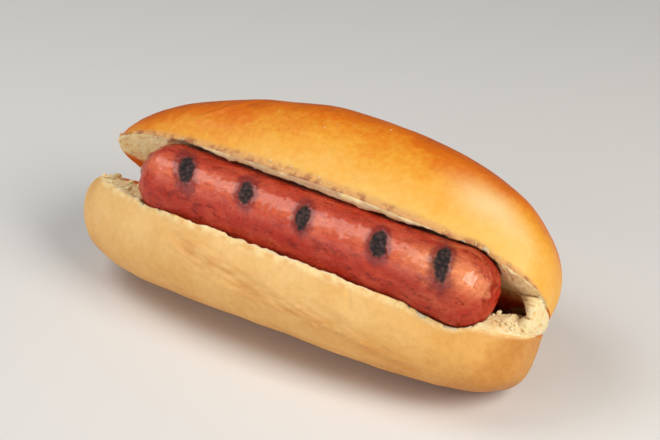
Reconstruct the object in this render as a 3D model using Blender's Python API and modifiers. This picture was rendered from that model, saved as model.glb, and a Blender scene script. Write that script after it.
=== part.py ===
"""Hot dog: a soft finger roll, slit along its side and opened, holding a grilled frankfurter.

Metres, +Z up. The roll lies along X and has tipped back until its mouth looks up and forwards,
towards -Y. The origin is on the table, under the middle of the object's bounding box.

Each half of the roll is lofted in the frame of its own cut face, whose origin is on the hinge,
where the slit ends inside the bread. There `out` runs across the face from the hinge to the lip,
and `deep` runs from the face into the bread. The halves are then turned apart about the hinge,
and a web of torn crumb still joins them round the end at +X.
"""

import math

import bpy
from mathutils import Vector

# --- Roll -----------------------------------------------------------------------------------
ROLL_LENGTH = 0.167
ROLL_WIDTH = 0.0566  # across the cut face, from the back to the lip
HINGE_THICKNESS = 0.0075  # bread left uncut behind the slit
BASE_DEPTH = 0.027  # from the cut face to the underside, before that is flattened
CROWN_DEPTH = 0.037  # from the cut face to the top of the crown
BASE_SLANT = -0.035  # how much deeper the base gets along X: it is thicker at -X
CROWN_SLANT = 0.023  # and the crown is thicker at +X
PLAN_POWERS = (2.2, 2.65)  # how blunt the ends at -X and +X are in plan: 2 is an ellipse
BASE_POWERS = (4.8, 5.0)  # and from the side, below the slit
CROWN_POWERS = (1.6, 2.4)  # and above it
BASE_BULGE = 0.0056  # how far the end at -X swells beyond the cut face
CROWN_BULGE = 0.0004
BULGE_START = 0.6  # as a share of half the roll's length
BASE_ROUNDNESS = 3.0  # section below the slit: 2 is round, more is squarer
CROWN_ROUNDNESS = 2.85
LIP_BEND = 0.0015  # how far the soft cut edge is bent away from the slit
LIP_BEND_WIDTH = 0.009
DEEPEST_SHARE = 0.7  # how much of a half's thickness may be pressed in

# --- How it is opened and set down -----------------------------------------------------------
BASE_TILT = math.radians(30.6)  # the lower cut face rises this much towards its lip
OPENING = math.radians(25.7)  # between the cut faces
LEAN = math.atan(-BASE_SLANT)  # the slit's line against the table, so that the underside is level
SETTLE = 0.003  # how far its weight flattens the underside

# --- Web of torn crumb, round the end at +X --------------------------------------------------
WEB_THICKNESS = 0.0028  # half way between the cut faces
WEB_ROOT = 0.0022  # how much thicker it is where it leaves them
WEB_EDGE = 0.0006  # how far it lies inside the crust at its roots
WEB_INSET = 0.0012  # how much further half way
WEB_FRONT = math.radians(-2)  # where it ends towards the lips, round the end from its tip
WEB_CLEAR = 0.0004  # it is swept round the hinge, so it stays this far from it
WEB_ROOTED = math.radians(4)  # how far it runs into each half

# --- Sausage ---------------------------------------------------------------------------------
SAUSAGE_LENGTH = 0.131
SAUSAGE_RADIUS = 0.0124
SAUSAGE_REACH = 0.0377  # from the hinge to the sausage's axis
SAUSAGE_SAG = math.radians(1)  # below the middle of the mouth
SAUSAGE_SHIFT = 0.0082  # along X
SAUSAGE_END_POWER = 2.3
NEST_GAP = 0.0005  # between the sausage and the bread that it presses

# --- Fineness --------------------------------------------------------------------------------
STATIONS = 33  # sections along each half, tips included
CAP_STATIONS = (0.1, 0.2, 0.35, 0.6, 1.0)  # further ones over the sausage's rounded ends: how far
#   from its tip, in radii
STATION_GAP = 0.001  # the least between one of those and one of the others
CRUST_POINTS = 24  # round the outside of a section
FACE_POINTS = 20  # across its cut face
WEB_POINTS = 12  # round the outside of the web
WEB_STEPS = 8  # from one cut face to the other
SAUSAGE_STEPS = 24  # along the sausage
SAUSAGE_SIDES = 32

# --- Colours, roughness ------------------------------------------------------------------------
BREAD = ((0.80, 0.50, 0.17, 1.0), 0.5)
FRANKFURTER = ((0.50, 0.09, 0.05, 1.0), 0.35)


def superellipse(share, power):
    """Height, from 0 to 1, of a rounded outline at `share` of its half width."""
    return max(0.0, 1.0 - abs(share) ** power) ** (1.0 / power)


def along(x, powers):
    """The same along the roll, where the two ends differ."""
    return superellipse(2 * x / ROLL_LENGTH, powers[1] if x > 0 else powers[0])


def face_middle():
    return ROLL_WIDTH / 2 - HINGE_THICKNESS


def sausage_radius(x):
    """Radius of the sausage at x, 0 past its ends."""
    into_cap = abs(x - SAUSAGE_SHIFT) - (SAUSAGE_LENGTH / 2 - SAUSAGE_RADIUS)
    if into_cap <= 0:
        return SAUSAGE_RADIUS
    return SAUSAGE_RADIUS * superellipse(min(1.0, into_cap / SAUSAGE_RADIUS), SAUSAGE_END_POWER)


def nest_depth(x, out, angle):
    """How far the sausage presses a cut face in. `angle` is from the face to the sausage's axis,
    seen from the hinge."""
    radius = sausage_radius(x)
    if radius == 0.0:
        return 0.0
    room = (radius + NEST_GAP) ** 2 - (out - SAUSAGE_REACH * math.cos(angle)) ** 2
    return max(0.0, math.sqrt(max(0.0, room)) - SAUSAGE_REACH * math.sin(angle))


def lip_bend(out, lip, half_width):
    share = max(0.0, 1.0 - (lip - out) / LIP_BEND_WIDTH)
    return LIP_BEND * share**2 * min(1.0, 2.5 * half_width / ROLL_WIDTH)


def swell(x, bulge, sunk):
    """How far the crust near the end at -X lies beyond its cut face, along X. `sunk` is how deep
    it is, as a share of the half's depth."""
    share = max(0.0, -2 * x / ROLL_LENGTH - BULGE_START) / (1 - BULGE_START)
    return -bulge * share**2 * math.sin(math.pi * sunk**0.6)


def section(x, depth, powers, bulge, roundness, angle):
    """A closed section of a half at x, as (x, out, deep) points: the crust from the lip round to
    the back, then the cut face from the back to the lip."""
    half_width = ROLL_WIDTH / 2 * along(x, PLAN_POWERS)
    high = depth * along(x, powers)
    middle = face_middle()
    lip = middle + half_width
    points = []
    for i in range(CRUST_POINTS):
        turn = math.pi * i / (CRUST_POINTS - 1)
        across = math.copysign(abs(math.cos(turn)) ** (2 / roundness), math.cos(turn))
        rise = max(0.0, math.sin(turn)) ** (2 / roundness)
        out = middle + half_width * across
        deep = high * rise + lip_bend(out, lip, half_width) * (1 - rise) ** 2
        deep = max(deep, nest_depth(x, out, angle))
        points.append((x + swell(x, bulge, high * rise / depth), out, deep))
    for i in range(1, FACE_POINTS - 1):
        out = middle - half_width + 2 * half_width * i / (FACE_POINTS - 1)
        deep = nest_depth(x, out, angle) + lip_bend(out, lip, half_width)
        points.append((x, out, min(deep, DEEPEST_SHARE * high)))
    return points


def stations():
    """Where the sections are along the roll: close together at its ends and at the sausage's."""
    caps = []
    for share in CAP_STATIONS:
        reach = SAUSAGE_LENGTH / 2 - share * SAUSAGE_RADIUS
        caps.extend((SAUSAGE_SHIFT - reach, SAUSAGE_SHIFT + reach))
    places = []
    for i in range(1, STATIONS - 1):
        x = -ROLL_LENGTH / 2 * math.cos(math.pi * i / (STATIONS - 1))
        if min(abs(x - cap) for cap in caps) > STATION_GAP:
            places.append(x)
    return sorted(places + caps)


def loft(name, rings, first, last):
    """A closed mesh through rings of equal length. An end is a point, or None for a flat cap."""
    size = len(rings[0])
    points = [point for ring in rings for point in ring]
    faces = []
    for i in range(len(rings) - 1):
        for j in range(size):
            k = (j + 1) % size
            faces.append((i * size + j, i * size + k, (i + 1) * size + k, (i + 1) * size + j))
    for tip, start, step in ((first, 0, -1), (last, (len(rings) - 1) * size, 1)):
        ring = [start + j for j in range(size)][::step]
        if tip is None:
            faces.append(tuple(ring))
            continue
        points.append(tip)
        faces.extend((ring[j], ring[(j + 1) % size], len(points) - 1) for j in range(size))
    mesh = bpy.data.meshes.new(name)
    mesh.from_pydata(points, [], faces)
    mesh.shade_smooth()
    return bpy.data.objects.new(name, mesh)


def half_roll(name, depth, slant, powers, bulge, roundness, angle, side):
    """A half of the roll in its cut face's frame, with the bread above (side 1) or below (-1)."""
    rings = []
    for x in stations():
        ring = section(x, depth + slant * x, powers, bulge, roundness, angle)
        rings.append([(at, -out, side * deep) for at, out, deep in ring][::-side])
    tips = []
    for ring, end in ((rings[0], -1), (rings[-1], 1)):
        x = end * ROLL_LENGTH / 2
        deep = max(abs(z) for _, _, z in ring) / 2
        tips.append((x + swell(x, bulge, deep / depth), -face_middle(), side * deep))
    return loft(name, rings, *tips)


def plan_edge(turn, inset):
    """The edge of the cut face round the end at +X, `turn` from its tip, `inset` inside it."""
    power = 2 / PLAN_POWERS[1]
    x = (ROLL_LENGTH / 2 - inset) * math.cos(turn) ** power
    across = math.copysign(abs(math.sin(turn)) ** power, turn)
    return x, face_middle() + (ROLL_WIDTH / 2 - inset) * across


def web_ring(share):
    """The web's outline in the plane that is `share` of the way, from -1 to 1, between the halves:
    round the outside from the front to the back, and back along the inside."""
    bow = 1 - min(1.0, share**2)
    outer = WEB_EDGE + WEB_INSET * bow
    inner = outer + WEB_THICKNESS + WEB_ROOT * (1 - bow)
    back = math.asin(((face_middle() - WEB_CLEAR) / (ROLL_WIDTH / 2)) ** (PLAN_POWERS[1] / 2))
    turns = [WEB_FRONT - (WEB_FRONT + back) * i / (WEB_POINTS - 1) for i in range(WEB_POINTS)]
    outside = [plan_edge(turn, outer) for turn in turns]
    return outside + [plan_edge(turn, inner) for turn in reversed(turns)]


def tear_web():
    """Crumb that still joins the halves, swept about the hinge from inside one to inside the
    other."""
    rings = []
    reach = OPENING / 2 + WEB_ROOTED
    for i in range(WEB_STEPS + 1):
        angle = reach * (2 * i / WEB_STEPS - 1)
        ring = web_ring(angle / (OPENING / 2))
        rings.append([(x, -out * math.cos(angle), out * math.sin(angle)) for x, out in ring])
    return loft("tear_web", rings, None, None)


def sausage():
    """A turned body: half its outline, swept round X."""
    outline = []
    for i in range(SAUSAGE_STEPS + 1):
        x = -SAUSAGE_LENGTH / 2 * math.cos(math.pi * i / SAUSAGE_STEPS)
        outline.append((x, 0.0, sausage_radius(x + SAUSAGE_SHIFT)))
    mesh = bpy.data.meshes.new("sausage")
    mesh.from_pydata(outline, [(i, i + 1) for i in range(SAUSAGE_STEPS)], [])
    turned = bpy.data.objects.new("sausage", mesh)
    screw = turned.modifiers.new("turn", "SCREW")
    screw.axis = "X"
    screw.steps = screw.render_steps = SAUSAGE_SIDES
    screw.use_merge_vertices = True
    screw.merge_threshold = 0.00001
    screw.use_normal_calculate = True
    return turned


def table():
    """What the underside is flattened against."""
    thick = 0.02
    bpy.ops.mesh.primitive_cube_add(size=1, location=(0, 0, -thick / 2))
    block = bpy.context.object
    block.name = "table"
    block.scale = (2 * ROLL_LENGTH, 2 * ROLL_LENGTH, thick)
    return block


def material(name, look):
    colour, roughness = look
    made = bpy.data.materials.new(name)
    made.use_nodes = True
    shader = made.node_tree.nodes["Principled BSDF"]
    shader.inputs["Base Color"].default_value = colour
    shader.inputs["Roughness"].default_value = roughness
    shader.inputs["Metallic"].default_value = 0.0
    return made


def collection(name, hidden=False):
    made = bpy.data.collections.new(name)
    made.hide_render = hidden
    bpy.context.scene.collection.children.link(made)
    return made


def put(obj, group, parent=None):
    for old in list(obj.users_collection):
        old.objects.unlink(obj)
    group.objects.link(obj)
    obj.parent = parent


def join(body, other, operation):
    other.hide_render = True
    other.display_type = "WIRE"
    step = body.modifiers.new(other.name, "BOOLEAN")
    step.operation = operation
    step.solver = "EXACT"
    step.object = other


def corners(objects):
    """Lowest and highest x, y and z of these objects' points."""
    bpy.context.view_layer.update()
    points = [obj.matrix_world @ vertex.co for obj in objects for vertex in obj.data.vertices]
    low = Vector(min(point[axis] for point in points) for axis in range(3))
    high = Vector(max(point[axis] for point in points) for axis in range(3))
    return low, high


def build():
    parts = collection("hot_dog")
    cutters = collection("cutters", hidden=True)
    hinge = bpy.data.objects.new("hinge", None)
    put(hinge, parts)
    hinge.rotation_euler.y = LEAN

    low_angle = OPENING / 2 - SAUSAGE_SAG
    high_angle = OPENING / 2 + SAUSAGE_SAG
    bun = half_roll(
        "bun", BASE_DEPTH, BASE_SLANT, BASE_POWERS, BASE_BULGE, BASE_ROUNDNESS, low_angle, -1
    )
    crown = half_roll(
        "crown", CROWN_DEPTH, CROWN_SLANT, CROWN_POWERS, CROWN_BULGE, CROWN_ROUNDNESS, high_angle, 1
    )
    web = tear_web()
    put(bun, parts, hinge)
    put(crown, cutters, hinge)
    put(web, cutters, hinge)
    bun.rotation_euler.x = -BASE_TILT
    web.rotation_euler.x = -BASE_TILT - OPENING / 2
    crown.rotation_euler.x = -BASE_TILT - OPENING

    frankfurter = sausage()
    put(frankfurter, parts, hinge)
    rise = BASE_TILT + low_angle
    aim = Vector((0.0, -math.cos(rise), math.sin(rise)))
    frankfurter.location = SAUSAGE_REACH * aim + Vector((SAUSAGE_SHIFT, 0.0, 0.0))

    low, high = corners([bun, crown])
    middle = (low + high) / 2
    hinge.location = (-middle.x, -middle.y, -low.z - SETTLE)
    flat = table()
    put(flat, cutters)

    join(bun, crown, "UNION")
    join(bun, web, "UNION")
    join(bun, flat, "DIFFERENCE")
    bun.data.materials.append(material("bread", BREAD))
    frankfurter.data.materials.append(material("frankfurter", FRANKFURTER))


def main():
    for obj in list(bpy.data.objects):
        bpy.data.objects.remove(obj, do_unlink=True)
    build()


if __name__ == "__main__":
    main()
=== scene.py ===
import math
from collections import namedtuple

import bmesh
import bpy
import numpy as np
from bpy.props import (
    FloatProperty,
    FloatVectorProperty,
    IntProperty,
    PointerProperty,
)
from mathutils import Matrix, Vector


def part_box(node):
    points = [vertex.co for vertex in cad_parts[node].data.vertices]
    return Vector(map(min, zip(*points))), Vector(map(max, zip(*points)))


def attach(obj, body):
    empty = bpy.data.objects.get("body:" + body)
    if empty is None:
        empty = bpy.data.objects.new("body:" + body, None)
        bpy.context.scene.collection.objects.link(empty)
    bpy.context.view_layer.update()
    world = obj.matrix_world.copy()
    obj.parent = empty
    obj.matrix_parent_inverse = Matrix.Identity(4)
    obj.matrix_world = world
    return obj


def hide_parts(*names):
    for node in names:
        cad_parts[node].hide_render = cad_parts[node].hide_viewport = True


bl_info = {
    "name": "Hot Dog",
    "version": (1, 0, 0),
    "blender": (4, 5, 0),
    "location": "3D View > Sidebar > Hot Dog",
    "description": "Dresses the packed hot dog: baked crust, open crumb, grilled sausage",
    "category": "Add Mesh",
}

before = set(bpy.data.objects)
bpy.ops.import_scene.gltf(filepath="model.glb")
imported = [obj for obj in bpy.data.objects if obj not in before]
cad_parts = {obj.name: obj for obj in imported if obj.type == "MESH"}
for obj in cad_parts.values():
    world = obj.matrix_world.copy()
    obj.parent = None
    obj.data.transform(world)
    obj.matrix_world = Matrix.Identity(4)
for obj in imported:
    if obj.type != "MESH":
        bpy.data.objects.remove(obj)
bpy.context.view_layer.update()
BUN_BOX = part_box("bun")
TABLE = 0.0  # the height that the roll lies on
# Pores get painted shade, darker the deeper they are
FULL_PORE = 0.0007  # a pore this deep has the darkest colour
FLUFF_HEIGHT = 0.0042  # of the loose crumb on the lower face at +X
TALLEST_RELIEF = 0.00035  # of the sausage's skin, which the bread holds in
CLEARANCE = 0.00045  # bread and crumbs stay this far from the sausage's plain form

# A half of the roll, below the slit (side -1) or above it (1)
Half = namedtuple("Half", "depth slant powers bulge roundness side turn nest_angle")

# A mark of the grill: where it is along the sausage from its middle and round it from +Y, and its
# size along and round. It leans by `slant` along for each metre round.
Mark = namedtuple("Mark", "along round wide high slant")
MARKS = (
    Mark(-0.0447, math.radians(119), 0.0064, 0.0100, 0.45),
    Mark(-0.0202, math.radians(123), 0.0056, 0.0084, 0.35),
    Mark(0.0024, math.radians(127), 0.0051, 0.0084, 0.25),
    Mark(0.0298, math.radians(127), 0.0055, 0.0078, 0.25),
    Mark(0.0512, math.radians(121), 0.0056, 0.0116, 0.40),
)

# Streaks across the base where its side was stretched: (along the roll, share of the crust's way
# from the lip to the back, how far it spreads up and down)
STRETCH = ((-0.038, 0.075, 0.03), (-0.026, 0.090, 0.05), (0.0005, 0.145, 0.05), (0.030, 0.180, 0.045),
           (0.066, 0.262, 0.04))

# Where loose crumbs lie: on which half, on its cut face or its crust, how far along the roll and
# across the surface, how many, and how wide
Bed = namedtuple("Bed", "host on_face reach span count sizes")
CRUMB_BEDS = (
    Bed("base", True, (0.060, 0.080), (0.35, 0.93), 70, (0.0005, 0.0016)),
    Bed("base", True, (-0.082, -0.058), (0.30, 0.97), 36, (0.0005, 0.0022)),
    Bed("base", False, (-0.060, 0.072), (0.004, 0.030), 8, (0.0003, 0.0006)),
    Bed("crown", False, (-0.050, 0.074), (0.004, 0.030), 20, (0.0003, 0.0008)),
    Bed("crown", False, (-0.040, 0.020), (0.18, 0.36), 12, (0.0002, 0.0005)),
)

# Settings ---------------------------------------------------------------------------------------


def metres(name, description, default):
    return FloatProperty(name=name, description=description, default=default, unit="LENGTH")


def degrees(name, description, amount):
    """An angle that is set in degrees here and read in radians."""
    default = math.radians(amount)
    return FloatProperty(name=name, description=description, default=default, subtype="ANGLE")


class RollSettings(bpy.types.PropertyGroup):
    """The roll as a whole, and how it is opened and lies."""

    length: metres("Length", "Along X", 0.167)
    width: metres("Width", "Across the cut face, from the back to the lip", 0.0566)
    hinge_thickness: metres("Hinge", "Bread left uncut behind the slit", 0.0075)
    plan_powers: FloatVectorProperty(
        name="Blunt Ends", description="How blunt the ends at -X and +X are in plan",
        default=(2.2, 2.65), size=2,
    )
    lip_bend: metres("Lip Bend", "How far the cut edge is bent away from the slit", 0.0015)
    lip_bend_width: metres("Lip Bend Width", "How far from the edge the bend starts", 0.009)
    bulge_start: FloatProperty(
        name="Bulge Start", description="Share of half the length where the end swells", default=0.6
    )
    deepest_share: FloatProperty(
        name="Deepest", description="Share of the bread's depth that may be pressed in", default=0.7
    )
    tilt: degrees("Tilt", "How much the lower cut face rises towards its lip", 30.6)
    opening: degrees("Opening", "Angle between the cut faces", 25.7)
    lean: degrees("Lean", "The slit's line against the table", math.degrees(math.atan(0.035)))
    settle: metres("Settle", "How far its weight flattens the underside", 0.003)
    soft_edge: metres("Soft Edge", "How gently the flat underside starts", 0.001)
    stations: IntProperty(name="Sections", description="Sections along each half", default=400)
    crust_points: IntProperty(name="Crust Points", description="Points round the crust", default=132)
    face_points: IntProperty(name="Face Points", description="Points across the face", default=92)


class BaseSettings(bpy.types.PropertyGroup):
    """The half below the slit."""

    depth: metres("Depth", "From the cut face to the underside", 0.027)
    slant: FloatProperty(
        name="Slant", description="How much deeper it gets along X", default=-0.035
    )
    powers: FloatVectorProperty(
        name="Blunt Ends", description="How blunt the ends are from the side", default=(4.8, 5.0),
        size=2,
    )
    bulge: metres("Bulge", "How far the end at -X swells beyond the cut face", 0.0056)
    roundness: FloatProperty(
        name="Roundness", description="2 is a round section, more is squarer", default=3.0
    )


class CrownSettings(bpy.types.PropertyGroup):
    """The half above the slit."""

    depth: metres("Depth", "From the cut face to the top", 0.037)
    slant: FloatProperty(
        name="Slant", description="How much deeper it gets along X", default=0.023
    )
    powers: FloatVectorProperty(
        name="Blunt Ends", description="How blunt the ends are from the side", default=(1.6, 2.4),
        size=2,
    )
    bulge: metres("Bulge", "How far the end at -X swells beyond the cut face", 0.0004)
    roundness: FloatProperty(
        name="Roundness", description="2 is a round section, more is squarer", default=2.85
    )


class WebSettings(bpy.types.PropertyGroup):
    """Torn crumb that still joins the halves round the end at +X."""

    thickness: metres("Thickness", "Half way between the cut faces", 0.0028)
    root: metres("Root", "How much thicker it is where it leaves them", 0.0050)
    edge: metres("Edge", "How far its roots lie inside the crust", 0.0006)
    inset: metres("Inset", "How much further half way", -0.0006)
    front: degrees("Front", "Where it ends towards the lips, round the end from its tip", 9)
    rooted: degrees("Rooted", "How far it runs into each half", 1.5)
    points: IntProperty(name="Points", description="Points round its outside", default=110)
    steps: IntProperty(name="Steps", description="From one face to the other", default=80)


class SausageSettings(bpy.types.PropertyGroup):
    """The frankfurter and where it lies."""

    length: metres("Length", "Tip to tip", 0.131)
    radius: metres("Radius", "At its middle", 0.0124)
    reach: metres("Reach", "From the hinge to its axis", 0.0377)
    sag: degrees("Sag", "Below the middle of the mouth", 1)
    shift: metres("Shift", "Along X", 0.0082)
    end_power: FloatProperty(name="Blunt Ends", description="How blunt its tips are", default=2.3)
    nest_gap: metres("Nest Gap", "Between it and the bread it presses", 0.0005)
    steps: IntProperty(name="Rings", description="Rings along it", default=380)
    sides: IntProperty(name="Sides", description="Points round it", default=200)


class StageSettings(bpy.types.PropertyGroup):
    """Where it is seen from, and the light."""

    azimuth: degrees("Azimuth", "Round from -Y towards +X", 35.77)
    elevation: degrees("Elevation", "Above the table", 29.72)
    distance: metres("Distance", "From the point looked at", 0.5449)
    target: FloatVectorProperty(
        name="Target", description="The point looked at", default=(0.0039, 0.0045, 0.0336), size=3,
        subtype="XYZ", unit="LENGTH",
    )
    roll: degrees("Roll", "Of the camera, anticlockwise", -1.44)
    lens: FloatProperty(name="Lens", description="In millimetres", default=91.65)
    key: FloatProperty(name="Key", description="Watts of the main light", default=5.2)
    fill: FloatProperty(name="Fill", description="Watts of the light in front", default=2.4)
    top: FloatProperty(name="Top", description="Watts of the light above", default=2.5)
    world: FloatProperty(name="World", description="Strength of the grey all round", default=0.10)


class HotDogSettings(bpy.types.PropertyGroup):
    """Everything that the buttons read."""

    roll: PointerProperty(type=RollSettings)
    base: PointerProperty(type=BaseSettings)
    crown: PointerProperty(type=CrownSettings)
    web: PointerProperty(type=WebSettings)
    sausage: PointerProperty(type=SausageSettings)
    stage: PointerProperty(type=StageSettings)


def halves(settings):
    """The base and the crown."""
    roll, sausage = settings.roll, settings.sausage
    angles = {
        "base": (-1, roll.tilt, roll.opening / 2 - sausage.sag),
        "crown": (1, roll.tilt + roll.opening, roll.opening / 2 + sausage.sag),
    }
    made = {}
    for name, (side, turn, nest_angle) in angles.items():
        half = getattr(settings, name)
        shape = (half.depth, half.slant, tuple(half.powers), half.bulge, half.roundness)
        made[name] = Half(*shape, side, turn, nest_angle)
    return made


# Uneven surfaces: noise in space, one value for each point -------------------------------------


def lattice(cell, seed):
    """A steady value from 0 to 1 for each whole-numbered cell (n, 3)."""
    mixed = cell[:, 0] * 73856093 ^ cell[:, 1] * 19349663 ^ cell[:, 2] * 83492791 ^ seed * 2654435
    mixed = (mixed ^ (mixed >> 13)) * 1274126177
    mixed = (mixed ^ (mixed >> 16)) & 0xFFFFFF
    return mixed / 0xFFFFFF


def smooth(value):
    value = np.clip(value, 0.0, 1.0)
    return value * value * (3 - 2 * value)


def between(value, start, end):
    """0 before start, 1 after end, and eased in between."""
    return smooth((value - start) / (end - start))


def noise(points, size, seed):
    """Smooth noise from -1 to 1, whose lumps are about `size` across. size may be (x, y, z)."""
    scaled = points / np.asarray(size)
    cell = np.floor(scaled).astype(np.int64)
    part = smooth(scaled - cell)
    total = np.zeros(len(points))
    for corner in np.ndindex(2, 2, 2):
        share = np.prod(np.where(corner, part, 1 - part), axis=1)
        total += share * lattice(cell + np.array(corner), seed)
    return 2 * total - 1


def rough(points, size, seed, octaves=3):
    """Noise with finer and fainter noise on it."""
    total = np.zeros(len(points))
    for octave in range(octaves):
        total += noise(points, np.asarray(size) / 2**octave, seed + octave) / 2**octave
    return total


def cells(points, size, seed):
    """How far each point is from the middle of its nearest cell, in cells, and that cell's own
    value from 0 to 1."""
    scaled = points / np.asarray(size)
    home = np.floor(scaled).astype(np.int64)
    nearest = np.full(len(points), 9.0)
    own = np.zeros(len(points))
    for step in np.ndindex(3, 3, 3):
        cell = home + np.array(step) - 1
        middle = np.stack([lattice(cell, seed + axis) for axis in range(3)], axis=1)
        distance = np.linalg.norm(cell + middle - scaled, axis=1)
        closer = distance < nearest
        nearest = np.where(closer, distance, nearest)
        own = np.where(closer, lattice(cell, seed + 7), own)
    return nearest, own


# The roll's own form, as it was cut and opened ---------------------------------------------------


def superellipse(share, power):
    return np.clip(1 - np.abs(share) ** power, 0, 1) ** (1 / power)


def along(x, length, powers):
    power = np.where(x > 0, powers[1], powers[0])
    return superellipse(2 * x / length, power)


def face_middle(roll):
    return roll.width / 2 - roll.hinge_thickness


def sausage_radius(x, sausage):
    """Radius at x, measured from the sausage's own middle."""
    into_cap = np.abs(x) - (sausage.length / 2 - sausage.radius)
    share = np.clip(into_cap / sausage.radius, 0, 1)
    return sausage.radius * superellipse(share, sausage.end_power)


def nest_depth(x, out, angle, sausage):
    """How far the sausage presses a cut face in. `angle` is from the face to the sausage's axis."""
    radius = sausage_radius(x - sausage.shift, sausage)
    room = (radius + sausage.nest_gap) ** 2 - (out - sausage.reach * math.cos(angle)) ** 2
    depth = np.sqrt(np.clip(room, 0, None)) - sausage.reach * math.sin(angle)
    return np.where(radius > 0, np.clip(depth, 0, None), 0.0)


def lip_bend(out, lip, half_width, roll):
    share = np.clip(1 - (lip - out) / roll.lip_bend_width, 0, None)
    return roll.lip_bend * share**2 * np.clip(2.5 * half_width / roll.width, 0, 1)


def swell(x, roll, half, sunk):
    """How far the crust near the end at -X lies beyond its cut face, along X. `sunk` is how deep
    it is, as a share of the half's depth."""
    share = np.clip(-2 * x / roll.length - roll.bulge_start, 0, 1) / (1 - roll.bulge_start)
    return -half.bulge * share**2 * np.sin(math.pi * np.clip(sunk, 0, 1) ** 0.6)


def even(curve, count):
    """Points spaced evenly along each row's curve (rows, points, 3)."""
    steps = np.linalg.norm(np.diff(curve, axis=1), axis=2)
    reached = np.concatenate([np.zeros((len(curve), 1)), np.cumsum(steps, axis=1)], axis=1)
    result = np.empty((len(curve), count, 3))
    for row in range(len(curve)):
        wanted = np.linspace(0, reached[row, -1], count)
        for axis in range(3):
            result[row, :, axis] = np.interp(wanted, reached[row], curve[row, :, axis])
    return result


def crust_rows(roll, sausage, half, x, half_width, high):
    """The crust of a half, from the lip round to the back, as rows of (x, out, deep)."""
    middle = face_middle(roll)
    turn = math.pi / 2 * (1 - np.cos(np.linspace(0, math.pi, 8 * roll.crust_points)))[None, :]
    across = np.sign(np.cos(turn)) * np.abs(np.cos(turn)) ** (2 / half.roundness)
    rise = np.clip(np.sin(turn), 0, 1) ** (2 / half.roundness)
    out = middle + half_width * across
    bent = lip_bend(out, middle + half_width, half_width, roll) * (1 - rise) ** 2
    deep = high * rise + bent
    deep = np.maximum(deep, nest_depth(x, out, half.nest_angle, sausage))
    swollen = x + swell(x, roll, half, high * rise / (half.depth + half.slant * x))
    return even(np.stack([swollen, out, deep], axis=2), roll.crust_points)


def face_rows(roll, sausage, half, x, half_width, high):
    """Its cut face, from the back to the lip."""
    middle = face_middle(roll)
    share = np.linspace(0, 1, 6 * roll.face_points)[None, :]
    out = middle - half_width + 2 * half_width * share
    bent = lip_bend(out, middle + half_width, half_width, roll)
    deep = nest_depth(x, out, half.nest_angle, sausage) + bent
    deep = np.minimum(deep, roll.deepest_share * high)
    return even(np.stack([x + 0 * out, out, deep], axis=2), roll.face_points)[:, 1:-1]


def half_rows(settings, half):
    """The half's sections and its two tips, turned about the hinge, which lies along X."""
    roll, sausage = settings.roll, settings.sausage
    steps = np.linspace(0, math.pi, roll.stations)[1:-1]
    x = -roll.length / 2 * np.cos(steps)[:, None]
    half_width = roll.width / 2 * along(x, roll.length, roll.plan_powers)
    high = (half.depth + half.slant * x) * along(x, roll.length, half.powers)
    crust = crust_rows(roll, sausage, half, x, half_width, high)
    face = face_rows(roll, sausage, half, x, half_width, high)
    rows = np.concatenate([crust, face], axis=1)
    rows = np.stack([rows[..., 0], -rows[..., 1], half.side * rows[..., 2]], axis=-1)
    ends = np.array([-roll.length / 2, roll.length / 2])
    deep = np.abs(rows[[0, -1], :, 2]).max(axis=1) / 2
    swollen = ends + swell(ends, roll, half, deep / (half.depth + half.slant * ends))
    tips = np.stack([swollen, 0 * ends - face_middle(roll), half.side * deep], axis=1)
    return turned(rows, -half.turn), turned(tips, -half.turn)


def turned(points, angle):
    """Points turned about X."""
    cosine, sine = math.cos(angle), math.sin(angle)
    y, z = points[..., 1], points[..., 2]
    return np.stack([points[..., 0], cosine * y - sine * z, sine * y + cosine * z], axis=-1)


def leaned(points, angle):
    """Points turned about Y, so that the slit's line leans against the table."""
    cosine, sine = math.cos(angle), math.sin(angle)
    x, z = points[..., 0], points[..., 2]
    return np.stack([cosine * x + sine * z, points[..., 1], cosine * z - sine * x], axis=-1)


def hinge_place(settings):
    """Where the hinge is, so that the roll fills its box and presses on the table."""
    corners = []
    for half in halves(settings).values():
        rows, tips = half_rows(settings, half)
        corners.extend([rows.reshape(-1, 3), tips])
    whole = leaned(np.concatenate(corners), settings.roll.lean)
    low, high = whole.min(axis=0), whole.max(axis=0)
    centre = (np.array(BUN_BOX[0]) + np.array(BUN_BOX[1])) / 2
    place = centre - (low + high) / 2
    place[2] = TABLE - low[2] - settings.roll.settle
    return place


def placed(points, settings):
    """Points round the hinge, moved to where the roll lies."""
    return leaned(points, settings.roll.lean) + hinge_place(settings)


def rested(points, settings):
    """The same points, those that the table meets pressed flat against it."""
    height = points[..., 2] - TABLE
    points[..., 2] = TABLE + (height + np.sqrt(height**2 + settings.roll.soft_edge**2)) / 2
    return points


def sausage_axis(settings):
    """Where the middle of the sausage is, from the hinge."""
    sausage, roll = settings.sausage, settings.roll
    rise = roll.tilt + roll.opening / 2 - sausage.sag
    return np.array([sausage.shift, -sausage.reach * math.cos(rise), sausage.reach * math.sin(rise)])


def cleared(points, settings):
    """The same points, those that would be inside the sausage pushed out to just clear of it."""
    hinge, lean = hinge_place(settings), settings.roll.lean
    local = leaned(points - hinge, -lean) - sausage_axis(settings)
    radius = sausage_radius(local[:, 0], settings.sausage)
    wanted = np.where(radius > 0, radius + CLEARANCE, 0.0)
    away = np.maximum(np.linalg.norm(local[:, 1:], axis=1), 1e-6)
    local[:, 1:] *= np.maximum(1, wanted / away)[:, None]
    return leaned(local + sausage_axis(settings), lean) + hinge


# Meshes -----------------------------------------------------------------------------------------


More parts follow.
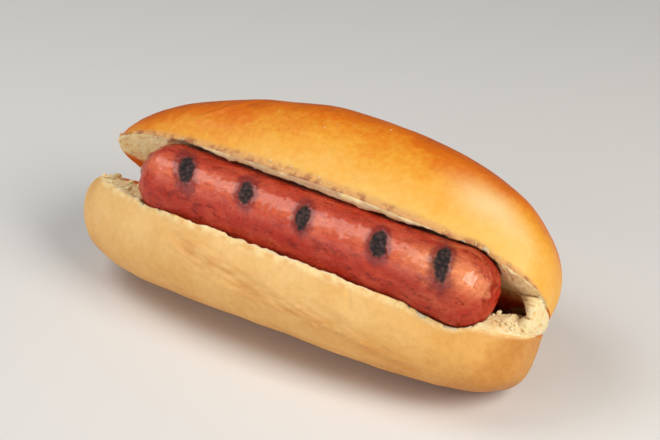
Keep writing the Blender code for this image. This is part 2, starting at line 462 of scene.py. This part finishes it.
def loop_mesh(name, rows, tips=None, flip=False):
    """A closed mesh through rows of equal loops (rows, points, 3), shut by a point at each end, or
    by flat caps if there are no tips."""
    count, size = rows.shape[:2]
    points = rows.reshape(-1, 3)
    index = np.arange(count * size).reshape(count, size)
    beside = np.roll(index, -1, axis=1)
    faces = np.stack([index[:-1], beside[:-1], beside[1:], index[1:]], axis=2).reshape(-1, 4).tolist()
    if tips is None:
        faces.extend([index[0][::-1].tolist(), index[-1].tolist()])
    else:
        points = np.vstack([points, tips])
        for centre, ring in ((count * size, index[0][::-1]), (count * size + 1, index[-1])):
            faces.extend([int(a), int(b), centre] for a, b in zip(ring, np.roll(ring, -1)))
    if flip:
        faces = [face[::-1] for face in faces]
    return mesh_piece(name, points, faces)


def mesh_piece(name, points, faces):
    mesh = bpy.data.meshes.new(name)
    mesh.from_pydata(np.asarray(points).tolist(), [], faces)
    mesh.shade_smooth()
    piece = bpy.data.objects.new(name, mesh)
    bpy.context.scene.collection.objects.link(piece)
    return piece


def points_of(piece):
    found = np.empty(len(piece.data.vertices) * 3)
    piece.data.vertices.foreach_get("co", found)
    return found.reshape(-1, 3)


def normals_of(piece):
    found = np.empty(len(piece.data.vertices) * 3)
    piece.data.vertex_normals.foreach_get("vector", found)
    return found.reshape(-1, 3)


def move_points(piece, points):
    piece.data.vertices.foreach_set("co", np.asarray(points).ravel())
    piece.data.update()


def raise_surface(piece, heights):
    """Moves each point of the piece along its normal."""
    move_points(piece, points_of(piece) + normals_of(piece) * heights[:, None])


def paint(piece, name, values):
    """Keeps a value from 0 to 1 for each point, for the materials to read."""
    layer = piece.data.attributes.new(name, "FLOAT", "POINT")
    layer.data.foreach_set("value", np.clip(values, 0, 1))


def finish_piece(piece, slot, *nodes):
    """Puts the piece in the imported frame, in place of these nodes."""
    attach(piece, "root")
    if nodes:
        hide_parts(*nodes)


def bell(value, middle, width):
    """1 at the middle, falling to about 0 at `width` from it."""
    return np.exp(-(((value - middle) / (0.5 * width)) ** 2))


# The roll's surface ------------------------------------------------------------------------------


def half_grid(roll):
    """For each point of a half, tips last: how far round the crust it is, from 0 at the lip to 1
    at the back, and across the face, from 0 at the back to 1 at the lip; and whether it is on the
    face."""
    crust = np.linspace(0, 1, roll.crust_points)
    face = np.linspace(0, 1, roll.face_points)[1:-1]
    row = np.concatenate([crust, face])
    on_face = np.concatenate([np.zeros(len(crust)), np.ones(len(face))])
    rows = roll.stations - 2
    share = np.concatenate([np.tile(row, rows), [0.5, 0.5]])
    cut = np.concatenate([np.tile(on_face, rows), [0.0, 0.0]])
    return share, cut > 0.5


def ragged_lip(points, share, cut, side):
    """How far the torn edge of the crust stands out or is drawn in: less below the slit."""
    near = np.where(cut, between(share, 0.90, 1.0), 1 - between(share, 0.0, 0.035))
    jagged = 0.00045 * noise(points, (0.0035, 0.004, 0.004), 21)
    jagged += 0.0003 * noise(points, (0.0014, 0.002, 0.002), 22)
    # It is torn more roughly round the open end
    plain = 0.55 if side < 0 else 1.0
    return near * jagged * (plain + 3.0 * (1 - between(points[:, 0], -0.080, -0.058)))


def crumb_depth(points, size, seed):
    """Open pores: round hollows of several sizes, and rough bread between them."""
    wide, own = cells(points, size, seed)
    fine, _ = cells(points, size * 0.42, seed + 3)
    depth = 0.30 * size * own * (1 - between(wide, 0.15, 0.55))
    depth += 0.12 * size * (1 - between(fine, 0.1, 0.5))
    return depth


def stretch_lines(x, share):
    """0 to 1: how near each point of the base is to the streaks across its side."""
    xs, middles, spreads = (np.array(column) for column in zip(*STRETCH))
    middle = np.interp(x, xs, middles)
    spread = np.interp(x, xs, spreads)
    ends = between(x, xs[0] - 0.004, xs[0] + 0.012) * (1 - between(x, xs[-1] - 0.014, xs[-1]))
    return ends * np.exp(-(((share - middle) / spread) ** 2))


def ridged(points, size, seed):
    """Narrow ridges between wide hollows, from 0 to 1."""
    return (1 - np.abs(rough(points, size, seed, 2)) / 1.5).clip(0, 1) ** 3


def base_relief(points, share, cut, x):
    """How far the base's crust stands out from its plain form."""
    relief = 0.00050 * rough(points, 0.022, 31) + 0.00016 * rough(points, (0.010, 0.005, 0.005), 33)
    torn = stretch_lines(x, share)
    flow = np.stack([x, share * 0.11 - 0.35 * x * 0.6, 0 * x], axis=1)
    folds = ridged(flow, (0.016, 0.0026, 1.0), 35)
    relief += torn * (0.00085 * folds - 0.00045)
    crease = bell(x, 0.0329 + 0.03 * (share - 0.02), 0.0016) * (1 - between(share, 0.07, 0.13))
    relief -= 0.00035 * crease
    lower = bell(share, 0.33, 0.12) * between(x, 0.035, 0.065)
    relief -= 0.00018 * lower * ridged(points, (0.02, 0.004, 0.003), 37)
    return np.where(cut, 0.0, relief)


def crown_relief(points, share, cut, x):
    """The same for the crown."""
    relief = 0.00045 * rough(points, 0.028, 41) + 0.00010 * rough(points, (0.009, 0.006, 0.006), 43)
    blister = bell(x, -0.0400, 0.0075) * bell(share, 0.107, 0.03)
    relief += 0.0005 * blister
    ridge = np.interp(x, (-0.045, -0.031), (0.113, 0.27))
    along_ridge = between(x, -0.050, -0.042) * (1 - between(x, -0.035, -0.027))
    relief += 0.0004 * along_ridge * bell(share, ridge, 0.035)
    wrinkled = 1 - between(share, 0.18, 0.3)
    relief -= 0.00010 * wrinkled * ridged(points, (0.006, 0.0035, 0.0035), 45)
    return np.where(cut, 0.0, relief)


def dress_half(piece, half, roll, x):
    """Gives a half its uneven crust, ragged lip and open crumb, and the values that its materials
    read."""
    share, cut = half_grid(roll)
    points = points_of(piece)
    relief = base_relief if half.side < 0 else crown_relief
    height = relief(points, share, cut, x) + ragged_lip(points, share, cut, half.side)
    inner = cut & (share > 0.04) & (share < 0.975)
    pores = crumb_depth(points, 0.0015, 51 + half.side)
    height -= np.where(inner, pores, 0.0)
    height += np.where(cut, 0.0004 * rough(points, 0.006, 55) + 0.0003 * rough(points, 0.002, 56), 0.0)
    if half.side < 0:
        fluff = between(x, 0.064, 0.077) * bell(share, 0.62, 0.62)
        height += np.where(inner, fluff * (FLUFF_HEIGHT + 0.0007 * rough(points, 0.0026, 57)), 0.0)
    edge = np.minimum(1, 12 * (1 - np.abs(2 * x / roll.length)).clip(0, 1))
    raise_surface(piece, height * edge)
    # Pore depth, for painted shade down the pores
    paint(piece, "pore_shade", np.where(inner, pores / FULL_PORE, 0.0))
    paint(piece, "lip", np.where(cut, between(share, 0.93, 1.0), 1 - between(share, 0.008, 0.035)))
    # Painted shade on the cut face far inside the mouth, towards the hinge
    paint(piece, "inside", np.where(cut, 1 - between(share, 0.32, 0.62), 0.0))
    closing = between(np.abs(2 * x / roll.length), 0.88, 0.995)  # the crust draws together here
    paint(piece, "round", np.where(cut, 0.0, share + closing * (0.24 - share)))
    paint(piece, "stretch", np.where(cut, 0.0, stretch_lines(x, share)) if half.side < 0 else 0 * x)
    # A painted highlight: a pale patch on the crown near the end at +X, where the light falls
    # brightest
    painted_highlight = bell(x, 0.061, 0.024) * bell(share, 0.17, 0.13) * (half.side > 0)
    paint(piece, "painted_highlight", np.where(cut, 0.0, 0.9 * painted_highlight))
    paint(piece, "end", 0.5 + x / roll.length)


def make_half(name, settings):
    """A half of the roll as one closed piece, its crust and its crumb in their own materials."""
    roll, half = settings.roll, halves(settings)[name]
    rows, tips = half_rows(settings, half)
    x = np.concatenate([rows[..., 0].ravel(), tips[:, 0]])
    lying = placed(rows, settings)
    piece = loop_mesh(name, lying, placed(tips, settings), flip=half.side > 0)
    dress_half(piece, half, roll, x)
    move_points(piece, rested(cleared(points_of(piece), settings), settings))
    kinds = np.zeros(len(piece.data.polygons), np.int32)
    size = roll.crust_points + roll.face_points - 2
    columns = np.arange((rows.shape[0] - 1) * size) % size
    kinds[: len(columns)] = columns >= roll.crust_points - 1
    piece.data.materials.append(crust_material(name))
    piece.data.materials.append(crumb_material())
    piece.data.polygons.foreach_set("material_index", kinds)
    finish_piece(piece, "bread", "bun")
    return piece


def plan_edge(turn, inset, roll):
    """The edge of the cut face round the end at +X, `turn` from its tip, `inset` inside it."""
    power = 2 / roll.plan_powers[1]
    x = (roll.length / 2 - inset) * math.cos(turn) ** power
    across = math.copysign(abs(math.sin(turn)) ** power, turn)
    return x, face_middle(roll) + (roll.width / 2 - inset) * across


def web_ring(web, roll, share):
    """The web's outline in the plane `share` of the way, from -1 to 1, between the halves."""
    bow = 1 - min(1.0, share**2)
    outer = web.edge + web.inset * bow
    inner = outer + web.thickness + web.root * (1 - bow)
    shy = 0.0004  # it is swept round the hinge, so it stays clear of it
    back = math.asin(((face_middle(roll) - shy) / (roll.width / 2)) ** (roll.plan_powers[1] / 2))
    turns = web.front - (web.front + back) * np.linspace(0, 1, web.points)
    outside = [plan_edge(turn, outer, roll) for turn in turns]
    return outside + [plan_edge(turn, inner, roll) for turn in reversed(turns)]


def make_web(settings):
    """The crumb that still joins the halves, stretched and torn at its front."""
    web, roll = settings.web, settings.roll
    reach = roll.opening / 2 + web.rooted
    rows = []
    for angle in np.linspace(-reach, reach, web.steps):
        ring = np.array(web_ring(web, roll, angle / (roll.opening / 2)))
        x, out = ring[:, 0], ring[:, 1]
        rows.append(np.stack([x, -out * math.cos(angle), out * math.sin(angle)], axis=1))
    rows = turned(np.array(rows), -roll.tilt - roll.opening / 2)
    piece = loop_mesh("tear_web", placed(rows, settings))
    points = points_of(piece)
    pores = crumb_depth(points, 0.0019, 61)
    stretched = 0.0005 * noise(points, (0.003, 0.003, 0.012), 63)
    raise_surface(piece, stretched - 1.3 * pores)
    paint(piece, "pore_shade", pores / FULL_PORE)
    paint(piece, "lip", 0 * pores)
    paint(piece, "inside", 0 * pores)
    piece.data.materials.append(crumb_material())
    finish_piece(piece, "bread", "bun")
    return piece


# The sausage --------------------------------------------------------------------------------------


def mark_shapes(along_it, round_it, points, radius):
    """How charred each point is, and how near it is to the rim of a mark."""
    char = np.zeros(len(points))
    rim = np.zeros(len(points))
    wobble = 0.24 * rough(points, 0.0045, 71, 3) + 0.16 * noise(points, 0.0009, 75) - 0.1
    for mark in MARKS:
        up = (round_it - mark.round) * radius
        sideways = along_it - mark.along - mark.slant * up
        far = np.sqrt((2 * sideways / mark.wide) ** 2 + (2 * up / mark.high) ** 2) + wobble
        char = np.maximum(char, 1 - between(far, 0.72, 1.12))
        rim = np.maximum(rim, 1 - between(np.abs(far - 1.15), 0.05, 0.75))
    return char, rim


def skin_relief(along_it, round_it, points, char, sausage):
    """How far the casing stands out from a plain turned form."""
    relief = 0.00028 * rough(points, (0.020, 0.010, 0.010), 81)
    relief += 0.00014 * rough(points, 0.0030, 83)
    tip = sausage.length / 2 - np.abs(along_it)
    pucker = 1 - between(tip, 0.0008, 0.0075)
    folds = 0.5 + 0.5 * np.cos(9 * round_it + 2.5 * noise(points, 0.006, 85))
    tied = np.where(along_it < 0, 0.0007, 0.0002)  # it was tied tighter at -X
    relief -= tied * pucker * between(tip, 0.0, 0.0012) * folds
    relief -= 0.0011 * (1 - between(tip, 0.0, 0.0010))
    rings = ridged(np.stack([tip, 0.004 * round_it, 0 * tip], axis=1), (0.0014, 0.006, 1.0), 89)
    relief -= 0.00016 * rings * (1 - between(tip, 0.006, 0.012))
    relief -= char * (0.00022 + 0.00012 * rough(points, 0.0012, 87, 2))
    return relief


def make_sausage(settings):
    """The frankfurter's skin, its marks of the grill sunk into it."""
    sausage = settings.sausage
    steps = np.linspace(0, math.pi, sausage.steps + 2)[1:-1]
    x = -sausage.length / 2 * np.cos(steps)
    turn = np.linspace(0, 2 * math.pi, sausage.sides, endpoint=False)
    radius = sausage_radius(x, sausage)
    axis = sausage_axis(settings)
    rows = np.empty((len(x), len(turn), 3))
    rows[..., 0] = x[:, None]
    rows[..., 1] = radius[:, None] * np.cos(turn)
    rows[..., 2] = radius[:, None] * np.sin(turn)
    ends = np.array([[-sausage.length / 2, 0, 0], [sausage.length / 2, 0, 0]])
    lying = placed(rows + axis, settings)
    piece = loop_mesh("skin", lying, placed(ends + axis, settings))
    along_it = np.concatenate([np.repeat(x, len(turn)), ends[:, 0]])
    round_it = np.concatenate([np.tile(turn, len(x)), [0, 0]])
    points = points_of(piece)
    char, rim = mark_shapes(along_it, round_it, points, sausage.radius)
    relief = skin_relief(along_it, round_it, points, char, sausage)
    raise_surface(piece, np.minimum(relief, TALLEST_RELIEF))
    paint(piece, "char", char)
    paint(piece, "rim", rim)
    # Bands along its top and bottom, beside the bread's lips, where the material paints shade
    paint(piece, "upper", 1 - between(round_it, math.radians(86), math.radians(121)))
    paint(piece, "lower", between(round_it, math.radians(132), math.radians(165)))
    # Painted sheen: a pink band along the middle of its lit side, and a painted highlight towards the
    # end at +X
    right_end_highlight = between(along_it, 0.030, 0.056) * bell(round_it, math.radians(126), 1.5)
    paint(piece, "painted_sheen", 1.0 * right_end_highlight + 0.30 * bell(round_it, math.radians(126), 0.5))
    far = np.where(along_it < 0, -along_it, along_it - 0.0045)
    paint(piece, "tip", between(far, sausage.length / 2 - 0.0085, sausage.length / 2 - 0.001))
    piece.data.materials.append(sausage_material())
    finish_piece(piece, "frankfurter", "sausage")
    return piece


# Loose crumbs and specks --------------------------------------------------------------------------


def scatter(settings, bed, generator):
    """Centres and sizes of the bed's crumbs, half sunk in the surface that they lie on."""
    host = bpy.data.objects[bed.host]
    end = np.empty(len(host.data.vertices))
    host.data.attributes["end"].data.foreach_get("value", end)
    share, cut = half_grid(settings.roll)
    x = (end - 0.5) * settings.roll.length
    wanted = (cut == bed.on_face) & (x > bed.reach[0]) & (x < bed.reach[1])
    wanted &= (share > bed.span[0]) & (share < bed.span[1])
    picked = generator.choice(np.flatnonzero(wanted), bed.count, replace=False)
    sizes = generator.uniform(*bed.sizes, bed.count)
    centres = points_of(host)[picked] + 0.3 * sizes[:, None] * normals_of(host)[picked]
    return centres, sizes


def make_crumbs(settings):
    """Crumbs torn from the cut faces and specks of flour, all in one piece."""
    generator = np.random.default_rng(5)
    ball = bmesh.new()
    bmesh.ops.create_icosphere(ball, subdivisions=2, radius=1.0)
    corners = np.array([vertex.co[:] for vertex in ball.verts])
    faces = np.array([[vertex.index for vertex in face.verts] for face in ball.faces])
    ball.free()
    points, joined = [], []
    for bed in CRUMB_BEDS:
        for centre, size in zip(*scatter(settings, bed, generator)):
            turn = np.linalg.qr(generator.normal(size=(3, 3)))[0]
            lumpy = 1 + 0.35 * rough(corners + 9 * len(points), 1.1, 91, 2)
            shape = corners * lumpy[:, None] * generator.uniform(0.6, 1.2, 3)
            joined.append(faces + len(corners) * len(points))
            points.append(centre + size / 2 * shape @ turn)
    lying = cleared(np.concatenate(points), settings)
    piece = mesh_piece("crumbs", lying, np.concatenate(joined).tolist())
    for name in ("pore_shade", "inside"):
        paint(piece, name, np.zeros(len(piece.data.vertices)))
    piece.data.materials.append(crumb_material())
    finish_piece(piece, "bread")
    return piece


# Materials ----------------------------------------------------------------------------------------


class Shader:
    """A Principled material and short ways to feed it."""

    def __init__(self, name, **constants):
        self.material = bpy.data.materials.new(name)
        self.material.use_nodes = True
        self.tree = self.material.node_tree
        self.principled = self.tree.nodes["Principled BSDF"]
        for word, value in constants.items():
            self.principled.inputs[word.replace("_", " ")].default_value = value

    def add(self, kind, inputs=(), **settings):
        node = self.tree.nodes.new("ShaderNode" + kind)
        for word, value in settings.items():
            setattr(node, word, value)
        for socket, value in dict(inputs).items():
            if isinstance(value, bpy.types.NodeSocket):
                self.tree.links.new(value, node.inputs[socket])
            else:
                node.inputs[socket].default_value = value
        return node

    def feed(self, socket, value):
        self.tree.links.new(value, self.principled.inputs[socket])

    def value(self, name):
        """A value painted on the mesh's points."""
        return self.add("Attribute", attribute_name=name).outputs["Fac"]

    def place(self):
        return self.add("TexCoord").outputs["Object"]

    def noise(self, size, detail=3.0, roughness=0.55, stretch=None):
        """Noise from 0 to 1 whose lumps are about `size` across."""
        where = self.place()
        if stretch:
            where = self.add("Mapping", {"Vector": where, "Scale": stretch}).outputs[0]
        inputs = {"Vector": where, "Scale": 1 / size, "Detail": detail, "Roughness": roughness}
        return self.add("TexNoise", inputs).outputs["Fac"]

    def ramp(self, value, *stops):
        """Colours along a value: (place, colour) pairs."""
        node = self.add("ValToRGB", {"Fac": value})
        elements = node.color_ramp.elements
        while len(elements) < len(stops):
            elements.new(0.5)
        for element, (place, colour) in zip(elements, stops):
            element.position = place
            element.color = (*colour, 1.0)
        return node.outputs["Color"]

    def mix(self, share, first, second):
        inputs = {"Factor": share, "A": first, "B": second}
        node = self.tree.nodes.new("ShaderNodeMix")
        node.data_type = "RGBA"
        for socket, value in inputs.items():
            target = [s for s in node.inputs if s.name == socket and s.enabled][0]
            if isinstance(value, bpy.types.NodeSocket):
                self.tree.links.new(value, target)
            else:
                target.default_value = (*value, 1.0) if isinstance(value, tuple) else value
        return [s for s in node.outputs if s.enabled][0]

    def mix_value(self, share, first, second):
        """`first`, or `second` where the share is 1."""
        return self.sum("MULTIPLY_ADD", share, self.sum("SUBTRACT", second, first), first)

    def sum(self, operation, first, second, third=None):
        inputs = {0: first, 1: second}
        if third is not None:
            inputs[2] = third
        return self.add("Math", inputs, operation=operation).outputs[0]

    def span(self, value, low, high, start=0.0, end=1.0):
        inputs = {"Value": value, "From Min": low, "From Max": high, "To Min": start, "To Max": end}
        return self.add("MapRange", inputs).outputs["Result"]

    def bump(self, height, distance, strength=1.0, normal=None):
        inputs = {"Height": height, "Distance": distance, "Strength": strength}
        if normal:
            inputs["Normal"] = normal
        return self.add("Bump", inputs).outputs["Normal"]


# Colours of the bread, as linear red, green and blue
CRUMB_WHITE = (0.98, 0.82, 0.52)
CRUMB_PALE = (0.95, 0.71, 0.34)
CRUMB_PORE_SHADE = (0.76, 0.42, 0.13)
CRUMB_SHADE = (0.76, 0.13, 0.001)  # far inside the mouth


def crumb_material():
    """Soft white bread: matt, a little translucent, with painted shade down its pores and far inside
    the mouth.
    """
    if "crumb" in bpy.data.materials:
        return bpy.data.materials["crumb"]
    shader = Shader("crumb", Roughness=0.92, Subsurface_Weight=0.35, Subsurface_Scale=0.004)
    shader.principled.inputs["Subsurface Radius"].default_value = (1.0, 0.7, 0.35)
    shader.principled.inputs["Specular IOR Level"].default_value = 0.15
    # Painted shade down the pores
    deep = shader.span(shader.value("pore_shade"), 0.0, 0.9)
    patches = shader.noise(0.007, 4)
    base = shader.ramp(patches, (0.3, CRUMB_PALE), (0.7, CRUMB_WHITE))
    # Painted shade far inside the mouth
    base = shader.mix(shader.value("inside"), base, CRUMB_SHADE)
    shader.feed("Base Color", shader.mix(deep, base, CRUMB_PORE_SHADE))
    fine = shader.bump(shader.noise(0.0007, 5, 0.7), 0.0004, 0.7)
    shader.feed("Normal", fine)
    return shader.material


CRUSTS = {
    # the colours from the lip to the top; on the base the darker ones are partly painted shade towards
    # its underside
    "crown": (
        (0.00, (0.88, 0.52, 0.12)),
        (0.35, (0.86, 0.38, 0.030)),
        (0.65, (0.76, 0.175, 0.004)),
        (1.00, (0.56, 0.090, 0.004)),
    ),
    "base": (
        (0.00, (0.89, 0.56, 0.21)),
        (0.35, (0.79, 0.42, 0.115)),
        (0.70, (0.62, 0.26, 0.050)),
        (1.00, (0.50, 0.18, 0.028)),
    ),
}


def crust_material(name):
    """Baked crust: satin, pale towards the slit and browner away from it, with a painted highlight on
    the crown near +X and partly painted shade towards the base's underside.
    """
    shader = Shader(name + "_crust", Roughness=0.46, Subsurface_Weight=0.12, Subsurface_Scale=0.003)
    shader.principled.inputs["Subsurface Radius"].default_value = (1.0, 0.55, 0.2)
    shader.principled.inputs["Specular IOR Level"].default_value = 0.28
    round_it, end = shader.value("round"), shader.value("end")
    # Browned most on top, and paler again where it rested against its neighbours in the tin
    if name == "crown":
        top = shader.span(round_it, 0.0, 0.40)
        left = shader.span(end, 0.0, 0.5, 0.50, 0.0)
        right = shader.span(end, 0.80, 1.0, 0.0, -0.45)
        back = shader.span(round_it, 0.55, 0.95, 0.0, -0.60)
        baked = shader.sum("ADD", shader.sum("ADD", top, back), shader.sum("ADD", left, right))
    else:
        # The base darkens from its lip round to its underside: partly its baked colour, partly painted
        # shade where it faces away from the light. It is darker towards +X too
        underside_bake_and_shade = shader.span(round_it, 0.12, 0.5, 0.1, 0.75)
        baked = shader.sum("ADD", underside_bake_and_shade, shader.span(end, 0.70, 1.0, 0.0, 0.35))
    blotches = shader.span(shader.noise(0.018, 4), 0.25, 0.75, -0.16, 0.16)
    mottle = shader.span(shader.noise(0.0022, 4, 0.65), 0.3, 0.7, -0.09, 0.09)
    baked = shader.sum("ADD", baked, shader.sum("ADD", blotches, mottle))
    colour = shader.ramp(baked, *CRUSTS[name])
    # The painted highlight on the crown near +X
    colour = shader.mix(shader.value("painted_highlight"), colour, (0.92, 0.63, 0.30))
    streaks = shader.noise(0.0020, 4, 0.6, (0.25, 1.0, 1.0))
    stretched = shader.sum("MULTIPLY", shader.value("stretch"), shader.span(streaks, 0.35, 0.65))
    colour = shader.mix(shader.sum("MULTIPLY", stretched, 0.7), colour, (0.70, 0.29, 0.065))
    torn = shader.sum("MULTIPLY", shader.value("lip"), shader.span(shader.noise(0.0016, 3), 0.2, 0.4))
    if name == "crown":
        # The crown's torn edge is darkened: its crumb colour, with painted shade under its overhanging
        # lip
        edge = shader.ramp(
            shader.noise(0.0034, 4), (0.36, (0.40, 0.15, 0.07)), (0.52, (0.71, 0.37, 0.14))
        )
    else:
        edge = shader.ramp(shader.noise(0.0034, 4), (0.4, (0.84, 0.50, 0.19)), (0.6, CRUMB_PALE))
    colour = shader.mix(torn, colour, edge)
    shader.feed("Base Color", colour)
    skin = shader.bump(shader.noise(0.0035, 5, 0.6), 0.0008, 0.5)
    fine = shader.bump(shader.noise(0.0006, 3, 0.6), 0.0002, 0.4, skin)
    shader.feed("Normal", fine)
    rough = shader.span(shader.noise(0.004, 3), 0.3, 0.7, 0.38, 0.52)
    shader.feed("Roughness", shader.mix_value(shader.value("lip"), rough, 0.85))
    return shader.material


def sausage_material():
    """Thin moist casing over pink meat, charred dry where the grill touched it."""
    shader = Shader("frankfurter", Subsurface_Weight=0.20, Subsurface_Scale=0.003)
    shader.principled.inputs["Subsurface Radius"].default_value = (1.0, 0.3, 0.15)
    shader.principled.inputs["Coat Roughness"].default_value = 0.12
    shader.principled.inputs["Specular IOR Level"].default_value = 0.25
    char, upper, lower = (shader.value(name) for name in ("char", "upper", "lower"))
    meat = shader.ramp(
        shader.noise(0.010, 5, 0.6), (0.3, (0.62, 0.055, 0.018)), (0.7, (0.80, 0.150, 0.070))
    )
    # Painted sheen and highlight in pale pink
    meat = shader.mix(shader.value("painted_sheen"), meat, (0.98, 0.33, 0.13))
    grain = shader.span(shader.noise(0.0011, 4, 0.65, (0.5, 1.0, 1.0)), 0.35, 0.75)
    meat = shader.mix(shader.sum("MULTIPLY", grain, 0.6), meat, (0.36, 0.022, 0.010))
    # Redder and darker along its top and bottom, beside the bread's lips, and at its tips, in blotches
    # and fine streaks: grilled colour, with painted shade where the lips overhang it
    lip_shade_and_tips = shader.sum("MAXIMUM", upper, shader.sum("MULTIPLY", lower, 0.9))
    lip_shade_and_tips = shader.sum("MAXIMUM", lip_shade_and_tips, shader.value("tip"))
    blotches = shader.span(shader.noise(0.0055, 5, 0.7, (0.45, 1.0, 1.0)), 0.40, 0.60)
    lip_shade_blotches = shader.sum("MULTIPLY", lip_shade_and_tips, shader.sum("MULTIPLY_ADD", blotches, 0.50, 0.40))
    meat = shader.mix(lip_shade_blotches, meat, (0.40, 0.009, 0.001))
    seared = shader.span(shader.noise(0.0024, 5, 0.75, (0.45, 1.0, 1.0)), 0.52, 0.62)
    meat = shader.mix(shader.sum("MULTIPLY", lip_shade_and_tips, seared), meat, (0.25, 0.008, 0.002))
    specks = shader.span(shader.noise(0.0020, 5, 0.8), 0.66, 0.74)
    meat = shader.mix(shader.sum("MULTIPLY", specks, 0.7), meat, (0.22, 0.012, 0.006))
    meat = shader.mix(shader.sum("MULTIPLY", shader.value("rim"), 0.75), meat, (0.19, 0.010, 0.012))
    burnt = shader.ramp(
        shader.noise(0.0011, 4), (0.42, (0.012, 0.007, 0.007)), (0.75, (0.11, 0.055, 0.050))
    )
    shader.feed("Base Color", shader.mix(char, meat, burnt))
    dry = shader.sum("MAXIMUM", char, shader.sum("MULTIPLY", lower, 0.8))
    shader.feed("Coat Weight", shader.span(dry, 0.0, 0.8, 0.55, 0.0))
    damp = shader.span(shader.noise(0.0022, 5, 0.7), 0.35, 0.65, 0.10, 0.42)
    shader.feed("Roughness", shader.mix_value(char, damp, 0.62))
    wrinkles = shader.bump(shader.noise(0.0032, 5, 0.65, (0.6, 1.0, 1.0)), 0.0010, 0.50)
    cracks = shader.bump(shader.noise(0.0011, 4, 0.7), 0.0006, 0.75, wrinkles)
    shader.feed("Normal", cracks)
    return shader.material


def plain_material(name, colour, roughness):
    shader = Shader(name, Roughness=roughness)
    shader.principled.inputs["Base Color"].default_value = (*colour, 1.0)
    return shader.material


# The stage ----------------------------------------------------------------------------------------


def area_light(name, place, aim, size, watts, colour=(1.0, 1.0, 1.0)):
    data = bpy.data.lights.new(name, "AREA")
    data.energy, data.size, data.color = watts, size, colour
    light = bpy.data.objects.new(name, data)
    light.location = place
    light.rotation_euler = (Vector(aim) - Vector(place)).to_track_quat("-Z", "Y").to_euler()
    bpy.context.scene.collection.objects.link(light)
    return light


def make_floor():
    size = 4.0
    floor = mesh_piece(
        "floor",
        [(-size, -size, TABLE), (size, -size, TABLE), (size, size, TABLE), (-size, size, TABLE)],
        [(0, 1, 2, 3)],
    )
    floor.data.materials.append(plain_material("floor", (0.80, 0.79, 0.77), 0.7))


def make_lights(stage):
    aim = tuple(stage.target)
    area_light("key", (0.62, -0.10, 0.52), aim, 0.40, stage.key, (1.0, 0.96, 0.90))
    area_light("fill", (-0.32, -0.74, 0.26), aim, 0.6, stage.fill)
    area_light("above", (-0.42, -0.16, 0.68), aim, 0.45, stage.top)
    world = bpy.data.worlds.new("studio")
    world.use_nodes = True
    world.node_tree.nodes["Background"].inputs["Color"].default_value = (1.0, 1.0, 1.0, 1.0)
    world.node_tree.nodes["Background"].inputs["Strength"].default_value = stage.world
    bpy.context.scene.world = world


def make_camera(stage):
    data = bpy.data.cameras.new("camera")
    data.lens = stage.lens
    camera = bpy.data.objects.new("camera", data)
    flat = math.cos(stage.elevation)
    back = Vector(
        (math.sin(stage.azimuth) * flat, -math.cos(stage.azimuth) * flat, math.sin(stage.elevation))
    )
    facing = back.to_track_quat("Z", "Y").to_matrix().to_4x4()
    tip = Matrix.Rotation(stage.roll, 4, "Z")
    place = Matrix.Translation(Vector(stage.target) + stage.distance * back)
    camera.matrix_world = place @ facing @ tip
    bpy.context.scene.collection.objects.link(camera)
    bpy.context.scene.camera = camera


# Operators and panel ------------------------------------------------------------------------------


class HOTDOG_OT_base(bpy.types.Operator):
    """Make the lower half of the roll"""

    bl_idname = "hotdog.base"
    bl_label = "Lower Half"

    def execute(self, context):
        make_half("base", context.scene.hot_dog)
        return {"FINISHED"}


class HOTDOG_OT_crown(bpy.types.Operator):
    """Make the upper half of the roll"""

    bl_idname = "hotdog.crown"
    bl_label = "Upper Half"

    def execute(self, context):
        make_half("crown", context.scene.hot_dog)
        return {"FINISHED"}


class HOTDOG_OT_web(bpy.types.Operator):
    """Make the torn crumb that joins the halves at one end"""

    bl_idname = "hotdog.web"
    bl_label = "Torn Crumb"

    def execute(self, context):
        make_web(context.scene.hot_dog)
        return {"FINISHED"}


class HOTDOG_OT_sausage(bpy.types.Operator):
    """Make the grilled sausage"""

    bl_idname = "hotdog.sausage"
    bl_label = "Sausage"

    def execute(self, context):
        make_sausage(context.scene.hot_dog)
        return {"FINISHED"}


class HOTDOG_OT_crumbs(bpy.types.Operator):
    """Scatter loose crumbs on the halves"""

    bl_idname = "hotdog.crumbs"
    bl_label = "Loose Crumbs"

    def execute(self, context):
        make_crumbs(context.scene.hot_dog)
        return {"FINISHED"}


class HOTDOG_OT_stage(bpy.types.Operator):
    """Set up the floor, the lights and the camera"""

    bl_idname = "hotdog.stage"
    bl_label = "Stage"

    def execute(self, context):
        stage = context.scene.hot_dog.stage
        make_floor()
        make_lights(stage)
        make_camera(stage)
        context.scene.view_settings.view_transform = "Standard"
        return {"FINISHED"}


OPERATORS = (
    HOTDOG_OT_base,
    HOTDOG_OT_crown,
    HOTDOG_OT_web,
    HOTDOG_OT_sausage,
    HOTDOG_OT_crumbs,
    HOTDOG_OT_stage,
)


class HOTDOG_PT_panel(bpy.types.Panel):
    """Buttons for each piece"""

    bl_idname = "HOTDOG_PT_panel"
    bl_label = "Hot Dog"
    bl_space_type = "VIEW_3D"
    bl_region_type = "UI"
    bl_category = "Hot Dog"

    def draw(self, context):
        column = self.layout.column(align=True)
        for operator in OPERATORS:
            column.operator(operator.bl_idname)


CLASSES = (
    RollSettings,
    BaseSettings,
    CrownSettings,
    WebSettings,
    SausageSettings,
    StageSettings,
    HotDogSettings,
    *OPERATORS,
    HOTDOG_PT_panel,
)


def register():
    for each in CLASSES:
        bpy.utils.register_class(each)
    bpy.types.Scene.hot_dog = PointerProperty(type=HotDogSettings)


def unregister():
    del bpy.types.Scene.hot_dog
    for each in reversed(CLASSES):
        bpy.utils.unregister_class(each)


def main():
    register()
    bpy.ops.hotdog.base()
    bpy.ops.hotdog.crown()
    bpy.ops.hotdog.web()
    bpy.ops.hotdog.sausage()
    bpy.ops.hotdog.crumbs()
    bpy.ops.hotdog.stage()


if __name__ == "__main__":
    main()
